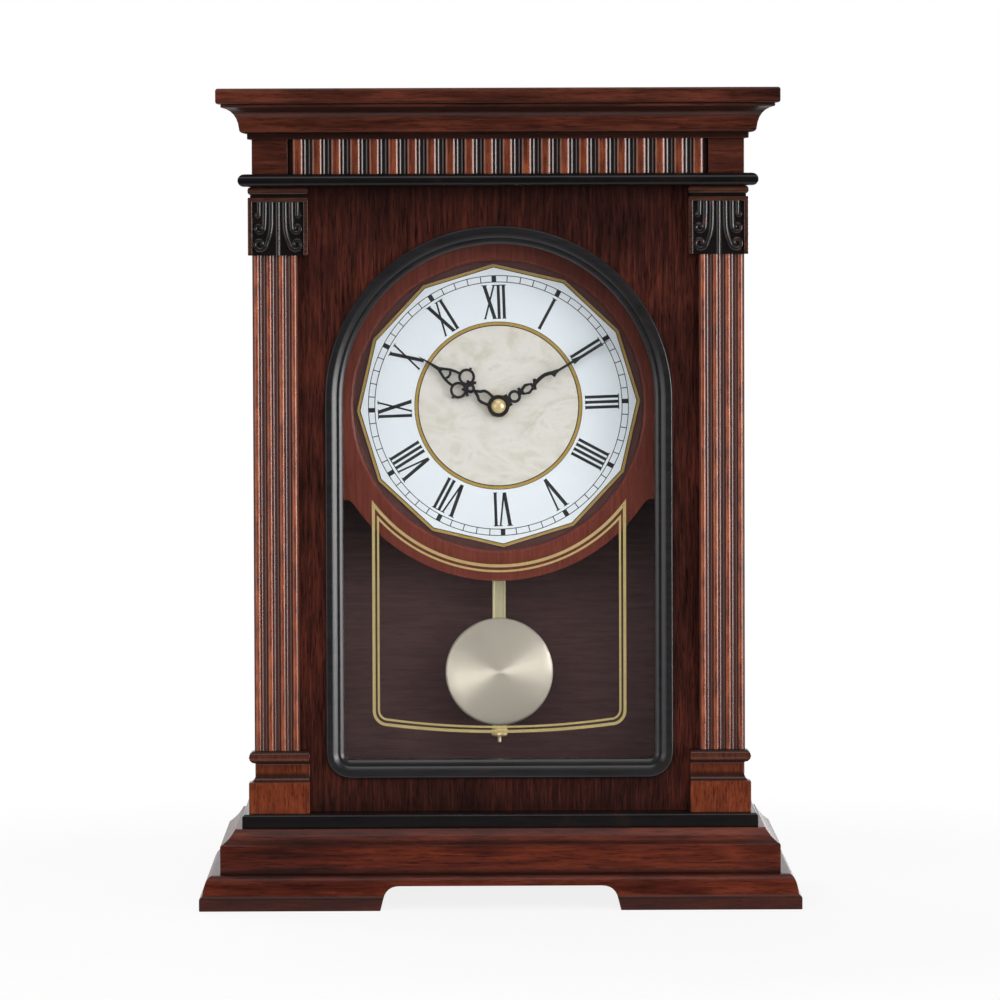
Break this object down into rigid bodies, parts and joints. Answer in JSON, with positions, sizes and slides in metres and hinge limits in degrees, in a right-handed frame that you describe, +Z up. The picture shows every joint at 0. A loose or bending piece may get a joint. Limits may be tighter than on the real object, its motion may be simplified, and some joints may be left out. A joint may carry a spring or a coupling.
{
  "type": "chiming mantel clock",
  "caption": "Free-standing wooden pendulum clock with reeded pilasters, moulded plinth and cornice, arched glazed front, polygonal dial and a battery chime movement behind a hinged back door.",
  "frame": {"origin": "on the table under the middle of the clock's footprint", "axes": "+Z up, the dial faces -Y, +X to the right when the dial is looked at"},
  "size_m": [0.2982, 0.14, 0.406],
  "materials": {
    "cherry": "gloss lacquer",
    "dark_cherry": "gloss lacquer",
    "ebonised": "black satin lacquer",
    "brass": "brushed",
    "black_metal": "black",
    "dial": "printed",
    "glass": "clear, with a printed gold border",
    "black_plastic": "fine texture",
    "grey_plastic": "fine texture",
    "steel": "turned",
    "cell": "printed jacket"
  },
  "bodies": {
    "case": {"plinth_front_moulding": "cherry", "left_plinth_side_moulding": "cherry", "right_plinth_side_moulding": "cherry", "left_pilaster_base": "cherry", "right_pilaster_base": "cherry", "left_pilaster_shaft": "cherry", "right_pilaster_shaft": "cherry", "frieze_board": "cherry", "reeded_strip": "cherry", "cornice_front": "cherry", "left_cornice_side": "cherry", "right_cornice_side": "cherry", "top_board": "cherry", "dial_mask": "cherry", "plinth_rear_rail": "dark_cherry", "left_side_panel": "dark_cherry", "right_side_panel": "dark_cherry", "front_panel": "dark_cherry", "left_glass_batten": "dark_cherry", "right_glass_batten": "dark_cherry", "left_capital": "dark_cherry", "right_capital": "dark_cherry", "rear_top_rail": "dark_cherry", "plinth_board": "ebonised", "arch_bead": "ebonised", "astragal_front": "ebonised", "left_astragal_side": "ebonised", "right_astragal_side": "ebonised", "threaded_bush": "brass", "fixing_nut": "brass", "upper_hinge_fixed_leaf": "brass", "lower_hinge_fixed_leaf": "brass", "dial_plate": "dial", "front_glass": "glass", "movement_case": "black_plastic", "movement_cover": "black_plastic", "catch_magnet": "black_plastic", "speaker": "grey_plastic", "battery_inner": "cell", "battery_outer": "cell"},
    "minute_train": {"minute_hand": "black_metal", "hand_nut": "brass", "minute_arbor": "steel"},
    "hour_train": {"hour_hand": "black_metal", "hour_wheel": "brass"},
    "motion_train": {"motion_wheel": "brass"},
    "setter": {"setting_knob": "black_plastic"},
    "pendulum": {"pendulum_lever": "black_plastic", "pendulum_rod": "brass", "pendulum_bob": "brass"},
    "rating": {"rating_nut": "brass"},
    "door": {"back_door": "dark_cherry", "upper_hinge_door_leaf": "brass", "lower_hinge_door_leaf": "brass", "door_knob": "brass", "catch_plate": "steel"},
    "volume": {"volume_knob": "grey_plastic"},
    "chime": {"chime_switch": "grey_plastic"},
    "lid": {"battery_lid": "grey_plastic"}
  },
  "joints": [
    {"name": "minute_turn", "type": "hinge", "parent": "case", "child": "minute_train", "pos_m": [0, -0.014, 0.2476], "axis": [0, 1, 0], "continuous": true},
    {"name": "hour_turn", "type": "hinge", "parent": "case", "child": "hour_train", "pos_m": [0, -0.012, 0.2476], "axis": [0, 1, 0], "continuous": true},
    {"name": "motion_turn", "type": "hinge", "parent": "case", "child": "motion_train", "pos_m": [-0.01018, 0.005, 0.23742], "axis": [0, 1, 0], "continuous": true},
    {"name": "setting_turn", "type": "hinge", "parent": "case", "child": "setter", "pos_m": [0, 0.024, 0.22723], "axis": [0, 1, 0], "continuous": true},
    {"name": "pendulum_swing", "type": "hinge", "parent": "case", "child": "pendulum", "pos_m": [0, 0.005, 0.2056], "axis": [0, 1, 0], "range_deg": [-6, 6]},
    {"name": "rating_turn", "type": "hinge", "parent": "pendulum", "child": "rating", "pos_m": [0, 0.0071, 0.0825], "axis": [0, 0, 1], "continuous": true},
    {"name": "door_swing", "type": "hinge", "parent": "case", "child": "door", "pos_m": [0.1108, 0.0605, 0.212], "axis": [0, 0, -1], "range_deg": [0, 95]},
    {"name": "volume_turn", "type": "hinge", "parent": "case", "child": "volume", "pos_m": [-0.044, 0.024, 0.2696], "axis": [0, -1, 0], "range_deg": [-135, 135]},
    {"name": "chime_slide", "type": "slide", "parent": "case", "child": "chime", "axis": [1, 0, 0], "range_m": [-0.0035, 0.0035]},
    {"name": "lid_slide", "type": "slide", "parent": "case", "child": "lid", "axis": [0, 0, 1], "range_m": [0, 0.052]}
  ],
  "couplings": [
    {"joint": "hour_turn", "follows": "minute_turn", "ratio": 0.083333},
    {"joint": "motion_turn", "follows": "minute_turn", "ratio": -0.33333},
    {"joint": "setting_turn", "follows": "minute_turn", "ratio": 1}
  ]
}
